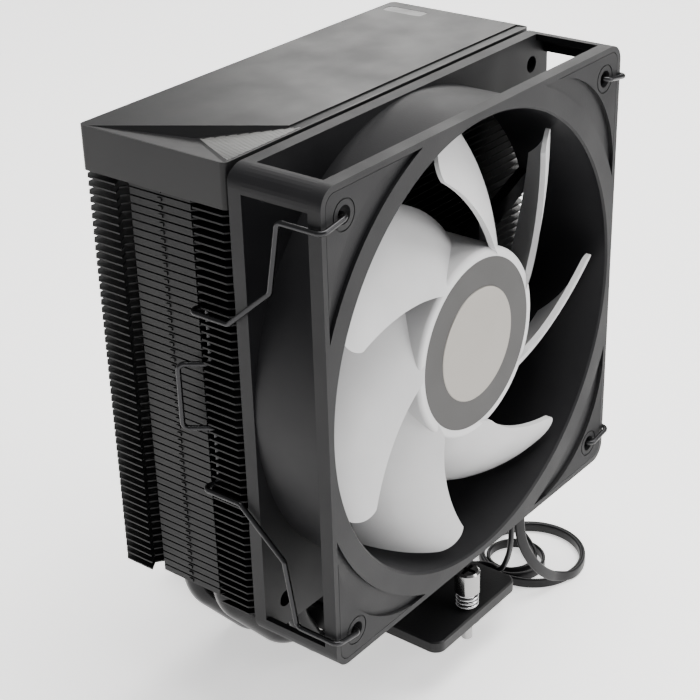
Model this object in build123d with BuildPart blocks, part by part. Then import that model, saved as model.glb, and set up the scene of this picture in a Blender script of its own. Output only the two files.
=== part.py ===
from build123d import *
import os
from math import atan2, cos, degrees, pi, radians, sin, sqrt, tan

# CPU tower cooler: cold plate, four heat pipes, a stack of fins, a moulded top
# cover, and one 120 mm fan held on by two wire clips. Millimetres, +Z up, the
# fan looks along -Y. The origin is the middle of the cold plate's contact face.

os.makedirs("parts", exist_ok=True)

# ---- driving dimensions ------------------------------------------------------

# tower
tower_width = 118.0
tower_depth = 44.0
fin_count = 53
fin_pitch = 2.0
fin_thickness = 0.4
fin_bottom_z = 38.5
fin_corner = 1.5
fin_recess = 2.0
fin_wall_half = 9.3
flange_height = 1.6
tab_width = 1.2
tab_height = 0.8
tab_depth = 0.3

# clip notch in the sides of the fins
notch_mouth = 2.4
notch_depth = 4.6
notch_lean = 1.7
notch_floor = 1.8
notch_back = 1.4

# heat pipes
pipe_d = 6.0
pipe_fit = 0.05
pipe_axis_z = 6.0
pipe_top_z = 149.0
pipe_tip_round = 1.4
inner_row_y = 5.0
inner_leg_x = 51.0
inner_flat_x = 28.5
inner_corner_z = 31.7
inner_upper_bend = 17.0
inner_lower_bend = 18.5
outer_row_y = 15.0
outer_leg_x = 36.0
outer_flat_x = 27.0
outer_corner_z = 22.9
outer_upper_bend = 18.0
outer_lower_bend = 12.0

# base
base_size = 40.0
base_height = 13.2
base_corner = 2.0
base_edge = 0.6

# mounting bar and its screws
bar_width = 37.0
bar_length = 95.6
bar_thickness = 3.2
bar_corner = 3.0
bar_edge = 0.4
bar_screw_x = 12.0
bar_screw_y = 10.0
bar_screw_r = 1.25
bar_screw_head_r = 2.4
bar_screw_head_h = 1.5
bar_screw_depth = 5.0
bar_screw_socket = 1.5
screw_fit = 0.05

# spring screws
screw_spacing = 88.0
screw_head_r = 3.4
screw_head_h = 6.4
screw_shank_r = 2.1
screw_bore_fit = 0.08
screw_thread_r = 1.5
screw_thread_len = 6.0
screw_slot = 1.0
screw_slot_depth = 2.0
screw_slot_reach = 0.72
spring_length = 5.2
spring_wire_r = 0.4
spring_r = 2.7
spring_turns = 3.7
ring_thickness = 0.5
ring_outer_r = 3.6
ring_groove_r = 1.8
ring_gap = 0.1
ring_slot = 2.4

# top cover
cover_top_z = 155.0
cover_height = 10.8
cover_wall = 1.5
cover_corner = 1.5
cover_roof = 1.6
facet_roof = 4.0
facet_lip = 0.4
facet_depth = 2.6
facet_apex_x = -46.0
facet_apex_y = -1.4
facet_end_y = 19.5
facet_front_x = -33.3
strip_depth = 3.7
facet_cavity_x = -30.0
boss_wall = 1.4
trim_thickness = 0.5
trim_inset = 0.5
trim_fit = 0.05
rib_pitch = 1.1
rib_angle = 62.0
rib_depth = 0.25
rib_count = 40
badge_length = 12.6
badge_width = 4.2
badge_depth = 0.5
badge_x = 53.0
badge_y = 13.4
badge_round = 1.2

# fan frame
fan_size = 120.0
fan_depth = 25.0
fan_gap = 1.5
fan_centre_z = 95.0
fan_corner = 4.5
fan_hole_pitch = 105.0
fan_hole_r = 2.15
fan_flange = 3.5
duct_r = 57.7
duct_wall = 1.9
duct_edge = 0.5
pad_inset = 1.5
pad_thickness = 1.0
pad_ring_r = 63.5
pad_fit = 0.12
crescent_r = 31.4
crescent_centre = 27.2
rear_pad_ring_r = 66.0
hole_ring_r = 3.7
hole_ring_width = 0.35
hole_ring_depth = 0.3
motor_base_r = 26.5
motor_base_t = 3.0
motor_rim_t = 1.3
motor_rim_h = 1.8
strut_width = 4.6
strut_thickness = 3.0
strut_count = 4
guide_x = 24.0

# motor
bearing_tube_r = 4.2
bearing_tube_bore = 3.05
bearing_r = 3.0
shaft_r = 1.5
shaft_fit = 0.03
shaft_gap = 2.4
neck_share = 0.8
neck_width = 0.5
washer_gap = 0.9
washer_thickness = 0.4
washer_fit = 0.45
bearing_length = 13.0
bearing_recess = 0.4
tube_seat = 0.6
tube_reach = 1.6
cap_thickness = 1.0
cap_recess = 0.2
press_gap = 0.03
stator_r = 18.4
pole_shoe = 2.0
pole_arm = 4.0
pole_gap = 5.0
stator_ring_r = 7.5
coil_inner = 8.2
coil_outer = 15.3
coil_width = 10.0
coil_overhang = 1.9
coil_corner = 1.2
coil_fit = 0.1
core_gap = 6.0
core_length = 9.0
pcb_gap = 0.1
magnet_bore = 18.9
cup_wall = 0.8
cup_recess = 0.4
magnet_inset = 1.2
magnet_gap = 2.0
pcb_r = 24.8
pcb_thickness = 1.0
pcb_notch = 8.0
label_inset = 5.0
label_thickness = 0.2
led_count = 6
led_size = 2.0
led_height = 0.7
led_ring_r = 23.2
lead_width = 4.0
lead_thickness = 1.2
lead_inset = 2.2

# impeller
hub_r = 24.2
hub_front = 2.0
hub_rear = 19.5
hub_wall = 1.7
hub_edge = 1.1
disc_r = 14.6
disc_height = 0.6
disc_edge = 0.15
ring_label_r = 21.9
ring_label_t = 0.45
blade_count = 7
blade_tip_r = 56.0
blade_root_t = 1.7
blade_tip_t = 1.2
blade_nose_slope = 12.0
blade_tail_slope = 55.0
blade_nose_round = 5.0
blade_tail_round = 2.5
blade_margin = 0.3

# wire clips
wire_d = 1.3
wire_clear = 0.35
wire_bend = 1.6
hook_depth = 3.6
clip_axis_x = 56.5
clip_axis_y = 11.7
clip_flank_y = 9.9
clip_high = 23.2
clip_handle = 8.4
clip_handle_y = 5.4
clip_knee = 34.2
clip_arm = 51.2
clip_arm_reach = 10.9
clip_knee_reach = 13.9

# leads lying beside the cooler
fan_cable_d = 1.6
light_cable_d = 3.0
fan_cable_x = 22.2
light_cable_x = 26.0
guide_width = 9.0
guide_depth = 3.5
guide_drop = 2.5
guide_corner = 0.8
fan_coil_x = 24.0
fan_coil_y = -32.0
fan_coil_r = 7.7
fan_coil_h = 8.0
light_coil_x = 48.6
light_coil_y = -33.5
light_coil_r = 16.6
light_coil_bore = 8.6
light_coil_h = 3.6
coil_edge = 1.2
fan_plug = (10.2, 12.0, 5.8)
light_plug = (10.2, 14.0, 2.6)
plug_corner = 0.5
plug_pitch = 2.54
plug_hole = 1.4
plug_hole_depth = 0.6
light_plug_end = (58.4, -7.1)
light_plug_heading = 78.0

# ---- worked out from them ----------------------------------------------------

pipe_r = pipe_d / 2
fin_top_z = fin_bottom_z + fin_pitch * (fin_count - 1) + fin_thickness
side_x = tower_width / 2
wall_x = side_x - fin_recess
front_y = -tower_depth / 2
bar_z = base_height
bar_top_z = bar_z + bar_thickness
screw_y = screw_spacing / 2
head_z = bar_top_z + spring_length
cover_bottom_z = cover_top_z - cover_height
fan_rear_y = front_y - fan_gap
fan_front_y = fan_rear_y - fan_depth
motor_front_y = fan_rear_y - motor_base_t
hub_front_y = fan_front_y + hub_front
hub_rear_y = fan_front_y + hub_rear
hub_bore_r = hub_r - hub_wall
cup_front_y = hub_front_y + hub_wall
row_spots = [(y, pipe_axis_z) for y in (-outer_row_y, -inner_row_y, inner_row_y, outer_row_y)]
fan_axis = Axis((0, 0, fan_centre_z), (0, 1, 0))
hole_offset = fan_hole_pitch / 2
strut_angle = degrees(atan2(-fan_size / 2, guide_x))
pipe_spots = [
    (sx * leg, sy * row)
    for leg, row in ((inner_leg_x, inner_row_y), (outer_leg_x, outer_row_y))
    for sx in (-1, 1)
    for sy in (-1, 1)
]


def fan_plane(y):
    """Plane across the fan at y, facing the fan's front, centred on its axis."""
    return Plane(origin=(0, y, fan_centre_z), x_dir=(1, 0, 0), z_dir=(0, -1, 0))


def save(builder, name):
    """Label the finished piece and write it."""
    builder.part.label = name
    export_step(builder.part, f"parts/{name}.step")


# ---- base: cold plate, cap and heat pipes ------------------------------------

with BuildPart() as cold_plate:
    with BuildSketch():
        Rectangle(base_size, base_size)
    extrude(amount=pipe_axis_z)
    chamfer(cold_plate.edges().filter_by(Axis.Z), base_corner)
    chamfer(cold_plate.faces().sort_by(Axis.Z)[0].edges(), base_edge)
    with BuildSketch(Plane.YZ.offset(-base_size)):
        with Locations(*row_spots):
            Circle(pipe_r + pipe_fit)
    extrude(amount=2 * base_size, mode=Mode.SUBTRACT)
save(cold_plate, "cold_plate")

with BuildPart() as base_cap:
    with BuildSketch(Plane.XY.offset(pipe_axis_z)):
        Rectangle(base_size, base_size)
    extrude(amount=base_height - pipe_axis_z)
    chamfer(base_cap.edges().filter_by(Axis.Z), base_corner)
    chamfer(base_cap.faces().sort_by(Axis.Z)[-1].edges(), base_edge)
    with BuildSketch(Plane.YZ.offset(-base_size)):
        with Locations(*row_spots):
            Circle(pipe_r + pipe_fit)
    extrude(amount=2 * base_size, mode=Mode.SUBTRACT)
    with BuildSketch(Plane.XY.offset(base_height)):
        with GridLocations(2 * bar_screw_x, 2 * bar_screw_y, 2, 2):
            Circle(bar_screw_r + screw_fit)
    extrude(amount=-bar_screw_depth, mode=Mode.SUBTRACT)
save(base_cap, "base_cap")


def heat_pipe(row_y, leg_x, flat_x, corner_z, upper_bend, lower_bend):
    """One U-shaped pipe: flat in the base, sloping out, then straight up both sides."""
    with BuildPart() as pipe:
        with BuildLine() as path:
            FilletPolyline(
                (-leg_x, row_y, pipe_top_z),
                (-leg_x, row_y, corner_z),
                (-flat_x, row_y, pipe_axis_z),
                (flat_x, row_y, pipe_axis_z),
                (leg_x, row_y, corner_z),
                (leg_x, row_y, pipe_top_z),
                radius=[upper_bend, lower_bend, lower_bend, upper_bend],
            )
        with BuildSketch(Plane(origin=path.line @ 0, z_dir=path.line % 0)):
            Circle(pipe_r)
        sweep()
        fillet(pipe.faces().filter_by(Axis.Z).edges(), pipe_tip_round)
    return pipe


pipe_rows = (
    (-outer_row_y, outer_leg_x, outer_flat_x, outer_corner_z, outer_upper_bend, outer_lower_bend),
    (-inner_row_y, inner_leg_x, inner_flat_x, inner_corner_z, inner_upper_bend, inner_lower_bend),
    (inner_row_y, inner_leg_x, inner_flat_x, inner_corner_z, inner_upper_bend, inner_lower_bend),
    (outer_row_y, outer_leg_x, outer_flat_x, outer_corner_z, outer_upper_bend, outer_lower_bend),
)
for number, row in enumerate(pipe_rows, start=1):
    save(heat_pipe(*row), f"heat_pipe_{number}")

# ---- fin stack ---------------------------------------------------------------

with BuildPart() as fin:
    with BuildSketch(Plane.XY.offset(fin_bottom_z)) as fin_plan:
        Rectangle(tower_width, tower_depth)
        chamfer(fin_plan.vertices(), fin_corner)
        for sx in (-1, 1):
            with Locations((sx * (side_x - fin_recess / 2), 0)):
                Rectangle(fin_recess, 2 * fin_wall_half, mode=Mode.SUBTRACT)
            for sy in (-1, 1):
                mouth = fin_wall_half + notch_mouth
                with BuildLine():
                    Polyline(
                        (sx * side_x, sy * mouth),
                        (sx * (side_x - notch_depth + notch_floor), sy * (mouth + notch_lean)),
                        (sx * (side_x - notch_depth), sy * (mouth + notch_lean - notch_back)),
                        (sx * wall_x, sy * fin_wall_half),
                        (sx * (side_x + 1), sy * fin_wall_half),
                        (sx * (side_x + 1), sy * mouth),
                        close=True,
                    )
                make_face(mode=Mode.SUBTRACT)
        with Locations(*pipe_spots):
            Circle(pipe_r + pipe_fit, mode=Mode.SUBTRACT)
    extrude(amount=fin_thickness)
    with BuildSketch(Plane.XY.offset(fin_bottom_z)):
        with Locations((wall_x - fin_thickness / 2, 0), (fin_thickness / 2 - wall_x, 0)):
            Rectangle(fin_thickness, 2 * fin_wall_half)
    extrude(amount=flange_height)
    with BuildSketch(Plane.XY.offset(fin_bottom_z + fin_thickness)):
        with Locations((wall_x + tab_depth / 2, 0), (-wall_x - tab_depth / 2, 0)):
            Rectangle(tab_depth, tab_width)
    extrude(amount=tab_height)

with BuildPart() as fin_stack:
    with Locations(*[(0, 0, fin_pitch * level) for level in range(fin_count)]):
        add(fin.part)
save(fin_stack, "fin_stack")

# ---- top cover with its sunk corner, trim and badge --------------------------

edge_x = facet_lip - side_x
edge_y = front_y + facet_lip
facet_run = facet_apex_y - edge_y
facet_side_run = facet_apex_x - edge_x
strip_y = front_y + strip_depth
apex = Vector(facet_apex_x, facet_apex_y, cover_top_z - facet_depth)
ridge_back = Vector(edge_x, facet_end_y, cover_top_z)
ridge_front = Vector(facet_front_x, strip_y, cover_top_z)
ridge = (ridge_front - ridge_back).normalized()
front_facet = Plane(
    origin=(0, edge_y, cover_top_z),
    x_dir=(1, 0, 0),
    z_dir=(0, facet_depth, facet_run),
)
side_facet = Plane(
    origin=(edge_x, 0, cover_top_z),
    x_dir=(0, 1, 0),
    z_dir=(facet_depth, 0, facet_side_run),
)
steep_facet = Plane(origin=ridge_back, x_dir=ridge, z_dir=ridge.cross(apex - ridge_back) * -1)
ridge_slope = (ridge_front.Y - ridge_back.Y) / (ridge_front.X - ridge_back.X)
ridge_at_front_x = ridge_back.X + (edge_y - ridge_back.Y) / ridge_slope

with BuildPart() as corner_pit:
    with BuildSketch(Plane.XY.offset(cover_top_z)):
        with BuildLine():
            Polyline(
                (edge_x, edge_y),
                (ridge_at_front_x, edge_y),
                (ridge_back.X, ridge_back.Y),
                close=True,
            )
        make_face()
    extrude(amount=-2 * facet_depth)
    split(bisect_by=front_facet, keep=Keep.TOP)
    split(bisect_by=side_facet, keep=Keep.TOP)
    split(bisect_by=steep_facet, keep=Keep.TOP)

with BuildPart() as front_strip:
    with BuildSketch(Plane.XY.offset(cover_top_z)):
        strip_left = facet_front_x - facet_lip
        strip_right = side_x - facet_lip
        with Locations(((strip_left + strip_right) / 2, (edge_y + strip_y) / 2)):
            Rectangle(strip_right - strip_left, strip_y - edge_y)
    extrude(amount=-facet_depth)
    split(bisect_by=front_facet, keep=Keep.TOP)


def trim_outline(gap):
    """Outline of the ribbed plate on the front facet, gap inside its pocket."""
    lean = sqrt(facet_run**2 + facet_depth**2) / facet_run
    low = trim_inset + gap
    tip_s = (apex.Y - edge_y) * lean - 3 * trim_inset - gap
    strip_s = (strip_y - edge_y) * lean
    return (
        (edge_x + 3 * trim_inset + gap, low),
        (ridge_at_front_x - 3 * trim_inset - gap, low),
        (facet_front_x - 2 * trim_inset - gap, strip_s),
        (apex.X, tip_s),
    )


boss_r = pipe_r + pipe_fit + boss_wall
with BuildPart() as top_cover:
    with BuildSketch(Plane.XY.offset(cover_bottom_z)):
        RectangleRounded(tower_width, tower_depth, cover_corner)
    extrude(amount=cover_height)
    with BuildSketch(Plane.XY.offset(cover_bottom_z)):
        Rectangle(tower_width - 2 * cover_wall, tower_depth - 2 * cover_wall)
    extrude(amount=cover_height - facet_roof, mode=Mode.SUBTRACT)
    with BuildSketch(Plane.XY.offset(cover_bottom_z)):
        cavity_right = side_x - cover_wall
        with Locations(((facet_cavity_x + cavity_right) / 2, cover_wall)):
            Rectangle(cavity_right - facet_cavity_x, tower_depth - 4 * cover_wall)
    extrude(amount=cover_height - cover_roof, mode=Mode.SUBTRACT)
    with BuildSketch(Plane.XY.offset(fin_top_z)):
        with Locations(*pipe_spots):
            Circle(boss_r)
    extrude(amount=cover_top_z - cover_roof - fin_top_z)
    with BuildSketch(Plane.XY.offset(fin_top_z)):
        with Locations(*pipe_spots):
            Circle(pipe_r + pipe_fit)
    extrude(amount=pipe_top_z + pipe_fit - fin_top_z, mode=Mode.SUBTRACT)
    add(corner_pit.part, mode=Mode.SUBTRACT)
    add(front_strip.part, mode=Mode.SUBTRACT)
    with BuildSketch(front_facet):
        with BuildLine():
            Polyline(*trim_outline(0), close=True)
        make_face()
    extrude(amount=-trim_thickness, mode=Mode.SUBTRACT)
    with BuildSketch(Plane.XY.offset(cover_top_z)):
        with Locations((badge_x, badge_y)):
            RectangleRounded(badge_width, badge_length, badge_round)
    extrude(amount=-badge_depth, mode=Mode.SUBTRACT)
save(top_cover, "top_cover")

with BuildPart() as ribbed_trim:
    with BuildSketch(front_facet):
        with BuildLine():
            Polyline(*trim_outline(trim_fit), close=True)
        make_face()
    extrude(amount=-trim_thickness)
    trim_middle = front_facet.from_local_coords(Vector((edge_x + facet_front_x) / 2, facet_run / 2))
    groove_plane = Plane(trim_middle, front_facet.x_dir, front_facet.z_dir)
    with BuildSketch(groove_plane):
        with Locations(Location((0, 0, 0), rib_angle)):
            with GridLocations(rib_pitch, 1, rib_count, 1):
                Rectangle(rib_pitch / 2, 2 * facet_run)
    extrude(amount=-rib_depth, mode=Mode.SUBTRACT)
save(ribbed_trim, "ribbed_trim")

with BuildPart() as cover_badge:
    with BuildSketch(Plane.XY.offset(cover_top_z - badge_depth)):
        with Locations((badge_x, badge_y)):
            RectangleRounded(badge_width - 2 * trim_fit, badge_length - 2 * trim_fit, badge_round)
    extrude(amount=badge_depth - trim_fit)
save(cover_badge, "cover_badge")

# ---- mounting bar, its screws, and the two spring screws ---------------------

with BuildPart() as mounting_bar:
    with BuildSketch(Plane.XY.offset(bar_z)):
        RectangleRounded(bar_width, bar_length, bar_corner)
    extrude(amount=bar_thickness)
    chamfer(mounting_bar.faces().sort_by(Axis.Z)[-1].edges(), bar_edge)
    with BuildSketch(Plane.XY.offset(bar_z)):
        with GridLocations(2 * bar_screw_x, 2 * bar_screw_y, 2, 2):
            Circle(bar_screw_r + screw_fit)
        with GridLocations(1, screw_spacing, 1, 2):
            Circle(screw_shank_r + screw_bore_fit)
    extrude(amount=bar_thickness, mode=Mode.SUBTRACT)
save(mounting_bar, "mounting_bar")

with BuildPart() as bar_screws:
    with BuildSketch(Plane.XY.offset(bar_top_z)):
        with GridLocations(2 * bar_screw_x, 2 * bar_screw_y, 2, 2):
            Circle(bar_screw_head_r)
    extrude(amount=bar_screw_head_h)
    with BuildSketch(Plane.XY.offset(bar_top_z)):
        with GridLocations(2 * bar_screw_x, 2 * bar_screw_y, 2, 2):
            Circle(bar_screw_r)
    extrude(amount=-bar_thickness - bar_screw_depth + pipe_fit)
    with BuildSketch(Plane.XY.offset(bar_top_z + bar_screw_head_h)):
        with GridLocations(2 * bar_screw_x, 2 * bar_screw_y, 2, 2):
            RegularPolygon(bar_screw_socket, 6)
    extrude(amount=-0.6 * bar_screw_head_h, mode=Mode.SUBTRACT)
save(bar_screws, "bar_screws")

ring_top_z = bar_z - ring_gap
ring_bottom_z = ring_top_z - ring_thickness


def spring_screw(y):
    """Chrome screw: slotted head, shank through the bar, ring groove, thread."""
    groove_top = ring_top_z + pipe_fit
    groove_bottom = ring_bottom_z - pipe_fit
    shank_end = groove_bottom - ring_thickness
    with BuildPart() as screw:
        with BuildSketch(Plane.XZ.offset(-y)):
            with BuildLine():
                Polyline(
                    (0, head_z + screw_head_h),
                    (screw_head_r - screw_slot_depth / 4, head_z + screw_head_h),
                    (screw_head_r, head_z + screw_head_h - screw_slot_depth / 4),
                    (screw_head_r, head_z),
                    (screw_shank_r, head_z),
                    (screw_shank_r, groove_top),
                    (ring_groove_r, groove_top),
                    (ring_groove_r, groove_bottom),
                    (screw_shank_r, groove_bottom),
                    (screw_shank_r, shank_end),
                    (screw_thread_r, shank_end),
                    (screw_thread_r, shank_end - screw_thread_len + screw_thread_r / 3),
                    (screw_thread_r * 2 / 3, shank_end - screw_thread_len),
                    (0, shank_end - screw_thread_len),
                    close=True,
                )
            make_face()
        revolve(axis=Axis((0, y, 0), (0, 0, 1)))
        with BuildSketch(Plane.XY.offset(head_z + screw_head_h)):
            with Locations((0, y)):
                Rectangle(2 * screw_head_r * screw_slot_reach, screw_slot)
                Rectangle(screw_slot, 2 * screw_head_r * screw_slot_reach)
        extrude(amount=-screw_slot_depth, mode=Mode.SUBTRACT)
    return screw


def retaining_ring(y):
    """Open ring in the screw's groove, under the bar."""
    with BuildPart() as ring:
        with BuildSketch(Plane.XY.offset(ring_bottom_z)):
            with Locations((0, y)):
                Circle(ring_outer_r)
                Circle(ring_groove_r + shaft_fit, mode=Mode.SUBTRACT)
            with Locations((ring_outer_r, y)):
                Rectangle(2 * ring_outer_r, ring_slot, mode=Mode.SUBTRACT)
        extrude(amount=ring_thickness)
    return ring


def coil_spring(y):
    """Open coil spring between the bar and the screw's head."""
    start_z = bar_top_z + spring_wire_r
    end_z = head_z - spring_wire_r - ring_gap / 2
    with BuildPart() as spring:
        with BuildLine(Plane.XY.offset(start_z)) as coil:
            Helix((end_z - start_z) / spring_turns, end_z - start_z, spring_r, center=(0, y, 0))
        with BuildSketch(Plane(origin=coil.line @ 0, z_dir=coil.line % 0)):
            Circle(spring_wire_r)
        sweep(is_frenet=True)
    return spring


for place, y in (("front", -screw_y), ("rear", screw_y)):
    save(spring_screw(y), f"spring_screw_{place}")
    save(retaining_ring(y), f"retaining_ring_{place}")
    save(coil_spring(y), f"spring_{place}")

# ---- fan frame and its corner pads -------------------------------------------

duct_outer_r = duct_r + duct_wall
lead_out_r = sqrt(guide_x**2 + (fan_size / 2) ** 2) - lead_inset
pad_square = fan_size - 2 * pad_inset
with BuildPart() as fan_frame:
    with BuildSketch(fan_plane(fan_rear_y)):
        Circle(duct_outer_r)
        Circle(duct_r, mode=Mode.SUBTRACT)
    extrude(amount=fan_depth)
    for flange_y in (fan_rear_y, fan_front_y + fan_flange):
        with BuildSketch(fan_plane(flange_y)):
            RectangleRounded(fan_size, fan_size, fan_corner)
            Circle(duct_r, mode=Mode.SUBTRACT)
        extrude(amount=fan_flange)
    rims = fan_frame.edges().filter_by(GeomType.CIRCLE).filter_by(lambda e: abs(e.radius - duct_r) < 0.01)
    chamfer(rims, duct_edge)
    with BuildSketch(fan_plane(fan_rear_y)):
        with GridLocations(fan_hole_pitch, fan_hole_pitch, 2, 2):
            Circle(fan_hole_r)
    extrude(amount=fan_depth, mode=Mode.SUBTRACT)
    with BuildSketch(fan_plane(fan_front_y)):
        RectangleRounded(pad_square, pad_square, fan_corner - pad_inset)
        Circle(pad_ring_r, mode=Mode.SUBTRACT)
    extrude(amount=-pad_thickness, mode=Mode.SUBTRACT)
    with BuildSketch(fan_plane(fan_rear_y)):
        Circle(motor_base_r)
    extrude(amount=motor_base_t)
    with BuildSketch(fan_plane(motor_front_y)):
        Circle(motor_base_r)
        Circle(motor_base_r - motor_rim_t, mode=Mode.SUBTRACT)
    extrude(amount=motor_rim_h)
    strut_in = motor_base_r - motor_rim_t
    strut_out = duct_r + duct_wall / 2
    with BuildSketch(fan_plane(fan_rear_y)):
        with PolarLocations((strut_in + strut_out) / 2, strut_count, start_angle=strut_angle):
            Rectangle(strut_out - strut_in, strut_width)
    extrude(amount=strut_thickness)
    with BuildSketch(fan_plane(fan_rear_y)):
        Circle(bearing_tube_r + press_gap)
    extrude(amount=motor_base_t, mode=Mode.SUBTRACT)
    with BuildSketch(fan_plane(motor_front_y)):
        with PolarLocations((strut_in + lead_out_r) / 2, 1, start_angle=strut_angle):
            Rectangle(lead_out_r - strut_in + lead_width, lead_width + 4 * pad_fit)
    extrude(amount=lead_thickness + pad_fit, mode=Mode.SUBTRACT)
save(fan_frame, "fan_frame")

with BuildPart() as corner_pads_front:
    with BuildSketch(fan_plane(fan_front_y)):
        RectangleRounded(pad_square - 2 * pad_fit, pad_square - 2 * pad_fit, fan_corner - pad_inset)
        Circle(pad_ring_r + pad_fit, mode=Mode.SUBTRACT)
        with GridLocations(2 * crescent_centre, 2 * crescent_centre, 2, 2):
            Circle(crescent_r, mode=Mode.SUBTRACT)
        with GridLocations(fan_hole_pitch, fan_hole_pitch, 2, 2):
            Circle(fan_hole_r, mode=Mode.SUBTRACT)
    extrude(amount=-pad_thickness)
    with BuildSketch(fan_plane(fan_front_y)):
        with GridLocations(fan_hole_pitch, fan_hole_pitch, 2, 2):
            Circle(hole_ring_r)
            Circle(hole_ring_r - hole_ring_width, mode=Mode.SUBTRACT)
    extrude(amount=-hole_ring_depth, mode=Mode.SUBTRACT)
save(corner_pads_front, "corner_pads_front")

with BuildPart() as corner_pads_rear:
    with BuildSketch(fan_plane(front_y)):
        RectangleRounded(pad_square, pad_square, fan_corner - pad_inset)
        Circle(rear_pad_ring_r, mode=Mode.SUBTRACT)
        with GridLocations(fan_hole_pitch, fan_hole_pitch, 2, 2):
            Circle(fan_hole_r, mode=Mode.SUBTRACT)
    extrude(amount=fan_gap)
save(corner_pads_rear, "corner_pads_rear")

# ---- motor: bearing, stator, circuit board, lights, lead ---------------------

tube_front_y = cup_front_y + cup_wall + tube_reach
tube_rear_y = fan_rear_y - tube_seat
pcb_y = motor_front_y - pcb_gap
with BuildPart() as bearing_tube:
    with BuildSketch(fan_plane(tube_rear_y)):
        Circle(bearing_tube_r)
        Circle(bearing_tube_bore, mode=Mode.SUBTRACT)
    extrude(amount=tube_rear_y - tube_front_y)
save(bearing_tube, "bearing_tube")

with BuildPart() as sleeve_bearing:
    with BuildSketch(fan_plane(tube_front_y + bearing_length)):
        Circle(bearing_r)
        Circle(shaft_r + shaft_fit, mode=Mode.SUBTRACT)
    extrude(amount=bearing_length - bearing_recess)
save(sleeve_bearing, "sleeve_bearing")

with BuildPart() as thrust_cap:
    with BuildSketch(fan_plane(tube_rear_y - cap_recess)):
        Circle(bearing_tube_bore - press_gap)
    extrude(amount=cap_thickness)
save(thrust_cap, "thrust_cap")

core_rear_y = motor_front_y - core_gap
with BuildPart() as stator_core:
    with BuildSketch(fan_plane(core_rear_y)):
        Circle(stator_r)
        Circle(stator_r - pole_shoe, mode=Mode.SUBTRACT)
        with PolarLocations(stator_r, 4, start_angle=45):
            Rectangle(3 * pole_shoe, pole_gap, mode=Mode.SUBTRACT)
        Circle(stator_ring_r)
        with PolarLocations(stator_r / 2 - 0.2, 4):
            Rectangle(stator_r - pole_shoe, pole_arm)
        Circle(bearing_tube_r + press_gap, mode=Mode.SUBTRACT)
    extrude(amount=core_length)
save(stator_core, "stator_core")

with BuildPart() as stator_windings:
    with BuildSketch(fan_plane(core_rear_y + coil_overhang)):
        with PolarLocations((coil_inner + coil_outer) / 2, 4):
            RectangleRounded(coil_outer - coil_inner, coil_width, coil_corner)
    extrude(amount=core_length + 2 * coil_overhang)
    with BuildSketch(fan_plane(core_rear_y + coil_fit)):
        with PolarLocations((coil_inner + coil_outer) / 2, 4):
            Rectangle(coil_outer - coil_inner + pole_shoe, pole_arm + 2 * coil_fit)
    extrude(amount=core_length + 2 * coil_fit, mode=Mode.SUBTRACT)
save(stator_windings, "stator_windings")

with BuildPart() as motor_pcb:
    with BuildSketch(fan_plane(pcb_y)):
        Circle(pcb_r)
        Circle(bearing_tube_r + 2 * pad_fit, mode=Mode.SUBTRACT)
        with PolarLocations(pcb_r - pcb_notch / 4, 1, start_angle=strut_angle):
            Rectangle(pcb_notch, lead_width + 1, mode=Mode.SUBTRACT)
    extrude(amount=pcb_thickness)
save(motor_pcb, "motor_pcb")

with BuildPart() as leds:
    with BuildSketch(fan_plane(pcb_y - pcb_thickness)):
        with PolarLocations(led_ring_r, led_count, start_angle=strut_angle + 30):
            Rectangle(led_size, led_size)
    extrude(amount=led_height)
save(leds, "leds")

with BuildPart() as rear_label:
    with BuildSketch(fan_plane(fan_rear_y + label_thickness)):
        Circle(motor_base_r - label_inset)
    extrude(amount=label_thickness)
save(rear_label, "rear_label")

lead_in_r = pcb_r - label_inset
lead_out_z = fan_centre_z - lead_out_r * sin(radians(-strut_angle))
guide_rear_y = fan_front_y + fan_flange + guide_depth
with BuildPart() as motor_lead:
    with BuildSketch(fan_plane(motor_front_y)):
        with PolarLocations((lead_in_r + lead_out_r) / 2, 1, start_angle=strut_angle):
            Rectangle(lead_out_r - lead_in_r, lead_width)
    extrude(amount=lead_thickness)
    with BuildSketch(fan_plane(motor_front_y)):
        with Locations((lead_out_r * cos(radians(strut_angle)), lead_out_z - fan_centre_z)):
            Rectangle(lead_width, lead_thickness)
    extrude(amount=motor_front_y - guide_rear_y)
save(motor_lead, "motor_lead")

with BuildPart() as cable_guide:
    with BuildSketch(fan_plane(guide_rear_y)):
        guide_top = lead_out_z - fan_centre_z + lead_thickness
        guide_bottom = -fan_size / 2 - guide_drop
        with Locations((guide_x, (guide_top + guide_bottom) / 2)):
            RectangleRounded(guide_width, guide_top - guide_bottom, guide_corner)
    extrude(amount=guide_depth)
save(cable_guide, "cable_guide")

# ---- rotor: impeller, steel cup, magnet, shaft, hub faces --------------------


def lead_angle(r):
    """Leading edge, degrees clockwise from the top seen from the front."""
    t = (r - hub_r) / (blade_tip_r - hub_r)
    return 321.4 - 49.9 * t + 18.0 * t**2 - 5.0 * t**3


def trail_angle(r):
    """Trailing edge, measured the same way."""
    t = (r - hub_r) / (blade_tip_r - hub_r)
    return 372.0 - 71.0 * t + 13.0 * t**2


def lead_depth(r):
    """Distance of the leading edge behind the fan's front face."""
    t = (r - hub_r) / (blade_tip_r - hub_r)
    return 1.8 + 1.7 * t - 2.2 * t**2


def trail_depth(r):
    """Distance of the trailing edge behind the fan's front face."""
    t = (r - hub_r) / (blade_tip_r - hub_r)
    return 15.4 + 7.9 * t - 5.6 * t**2


def edge_point(distance, middle, angle_at, depth_at):
    """Where a blade edge crosses the section plane at this distance from the axis."""
    r = distance
    for _ in range(8):
        offset = radians(angle_at(r) - middle)
        r = distance / cos(offset)
    return r * sin(offset), fan_front_y + depth_at(r)


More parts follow.
